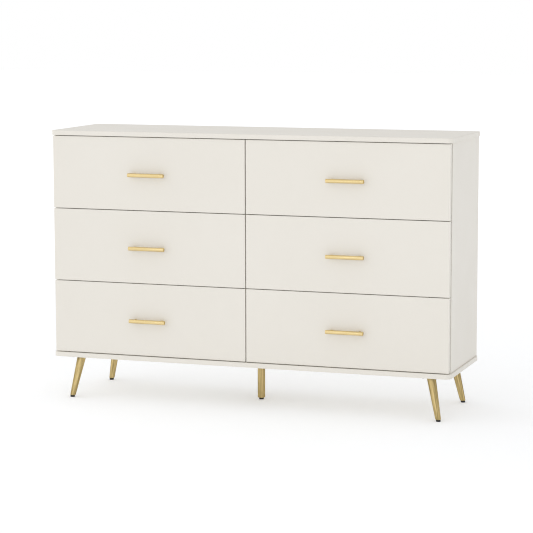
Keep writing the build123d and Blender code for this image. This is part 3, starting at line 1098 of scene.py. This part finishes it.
for low, high in case_members:
    middle = (low + high) / 2
    hand = facing(middle)
    wall = low.x if hand > 0 else high.x
    made.append(handed(cage, hand, (wall, low.y + cage_setback + half_cage, middle.z)))
finish_piece(joined("runner_ball_cages", made), zinc, "case", "zinc_steel")
remove_model(cage)

# Drawers
# Each is a lacquered 16 mm front with a slightly eased edge on a foil-covered box: two grooved sides, a back
# and a thin bottom. Cams and bolts hold the front on, and long screws the back.
drawers = [f"{row}_{column}_drawer" for row in ("bottom", "middle", "top") for column in ("left", "right")]


def make_front_cams(name):
    """The cams, bolts and screws of one drawer, each in the place of its CAD solid."""
    box_middle = sum(corner.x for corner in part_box(name + "_sides")) / 2
    fittings = []
    for low, high in solids_of(name + "_fittings"):
        size = high - low
        middle = (low + high) / 2
        outward = 1 if middle.x > box_middle else -1
        if abs(size.y - size.z) < 0.0005 and size.y > 0.012:
            head = Vector((low.x if outward > 0 else high.x, middle.y, middle.z))
            fittings.append(placed(drawer_cam, towards((-outward, 0, 0), head)))
        elif size.y > 0.04:
            start = Vector((middle.x, high.y, middle.z))
            fittings.append(placed(drawer_bolt, towards((0, 1, 0), start)))
        elif size.y > max(size.x, size.z):
            fittings.append(place_screw(low, high, (0, 1, 0)))
        elif size.z > max(size.x, size.y):
            fittings.append(place_screw(low, high, (0, 0, -1)))
        else:
            fittings.append(place_screw(low, high, (outward, 0, 0)))
    return joined(name + "_hardware", fittings)


drawer_cam = make_cam_model(cam_radius, cam_length)
drawer_bolt = make_bolt_model(bolt_radius, bolt_length)
for name in drawers:
    paint(lacquer, name + "_front")
    paint(foil, name + "_sides", name + "_back", name + "_bottom")
    finish_piece(make_front_cams(name), zinc, name, "zinc_steel", name + "_fittings")
remove_model(drawer_cam, drawer_bolt, *screw_models.values())

# Drawer runners
# A smaller zinc plated channel is screwed to each box side, and slides inside the case channel.
# Each of its flanges is rolled with a groove for the balls.
drawer_low, drawer_high = solids_of("top_left_drawer_runners")[0]
drawer_half = (drawer_high.z - drawer_low.z) / 2
drawer_steps = (
    (-0.0006, 0.0006),
    (-0.0022, 0.0002),
    (-0.0012, -0.0007),
    (-0.0016, 0.0),
    (-0.0012, 0.0007),
    (-0.0008, 0.0),
)
drawer_web_half = drawer_half - half_sheet - 0.0008
drawer_slot_length = 0.012
drawer_slot_height = 0.0048
drawer_slot_places = (-0.090, -0.030, 0.030, 0.090)
drawer_channel = make_channel("drawer_channel", drawer_web_half, drawer_steps, runner_length)
drawer_slots = [slot_through(y, drawer_slot_length, drawer_slot_height) for y in drawer_slot_places]
combine(drawer_channel, "DIFFERENCE", *drawer_slots)
for name in drawers:
    made = []
    box_middle = sum(corner.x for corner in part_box(name + "_sides")) / 2
    for low, high in solids_of(name + "_runners"):
        middle = (low + high) / 2
        outward = 1 if middle.x > box_middle else -1
        wall = low.x if outward > 0 else high.x
        made.append(handed(drawer_channel, -outward, (wall + outward * half_sheet, middle.y, middle.z)))
    finish_piece(joined(name + "_channels", made), zinc, name, "zinc_steel", name + "_runners", angle=50)
remove_model(drawer_channel)

# Bumpers
# Soft black rubber dots that quieten the drawer as it shuts.
# They are stuck on the back of each front, at its outer corners.
bumper_radius = 0.003
bumper_height = 0.0018
bumper_edge = 0.0009
bumper_inset_x = 0.0046
bumper_inset_z = 0.012
dot = turned("bumper", bumper_radius, bumper_height, 20)
ease(dot, bumper_edge, 3, lambda middle, direction: middle.z > -0.0002 and abs(direction.z) < 0.5)
for name in drawers:
    front_low, front_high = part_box(name + "_front")
    made = []
    for x in (front_low.x + bumper_inset_x, front_high.x - bumper_inset_x):
        for z in (front_low.z + bumper_inset_z, front_high.z - bumper_inset_z):
            place = Vector((x, front_high.y + bumper_height, z))
            made.append(placed(dot, towards((0, 1, 0), place)))
    finish_piece(joined(name + "_bumpers", made), black_plastic, name, "black_plastic")
remove_model(dot)

# Pulls
# A round solid brass bar on two turned posts, satin finished along its length, with a groove near each foot.
# Screws from behind the front hold the posts.
pull_light = (0.865, 0.69, 0.36, 1)
pull_deep = (0.64, 0.49, 0.225, 1)
pull_rim = (0.50, 0.36, 0.16, 1)
bar_segments = 56
post_segments = 32
bar_end_edge = 0.0006
pull_streaks_across = 420.0
pull_streaks_along = 9.0
pull_roughness = 0.30
pull_streak_strength = 0.6
# From the bar to the front: a groove's two walls and floor, then the ring that meets the front.
foot_steps = ((0.88, 0.0003), (0.88, 0.0005), (1.0, 0.0003), (1.0, 0.0013))
foot_length = sum(step for scale, step in foot_steps)


def make_post(radius, length):
    """A turned post along Z from -length to 0, with a groove near its foot."""
    post = turned("post", radius, length - foot_length, post_segments)
    pick(post, "FACE", lambda middle, normal: normal.z > 0.9)
    size = 1.0
    for scale, step in foot_steps:
        extrude((0, 0, step))
        bpy.ops.transform.resize(value=(scale / size, scale / size, 1))
        size = scale
    close_edit()
    post.data.transform(Matrix.Translation((0, 0, -foot_length)))
    return post


pull_brass = make_brass(
    "satin_brass_pull", pull_light, pull_deep, pull_rim, (0, pi / 2, 0),
    pull_streaks_across, pull_streaks_along, pull_roughness, pull_streak_strength,
)
for name in drawers:
    bar_box, *post_boxes = sorted(solids_of(name + "_pull"), key=lambda box: box[0].x - box[1].x)
    low, high = bar_box
    bar_radius = (high.z - low.z) / 2
    bar_middle = (low + high) / 2
    bar = turned("bar", bar_radius, high.x - low.x, bar_segments)
    ease(bar, bar_end_edge, 3, lambda middle, direction: abs(direction.z) < 0.5)
    bar.data.transform(towards((1, 0, 0), Vector((high.x, bar_middle.y, bar_middle.z))))
    for low_post, high_post in post_boxes:
        post = make_post((high_post.x - low_post.x) / 2, high_post.y - bar_middle.y)
        post_place = Vector(((low_post.x + high_post.x) / 2, high_post.y, bar_middle.z))
        post.data.transform(towards((0, 1, 0), post_place))
        combine(bar, "UNION", post)
    bar.name = name + "_bar_pull"
    finish_piece(bar, pull_brass, name, "satin_brass", name + "_pull")
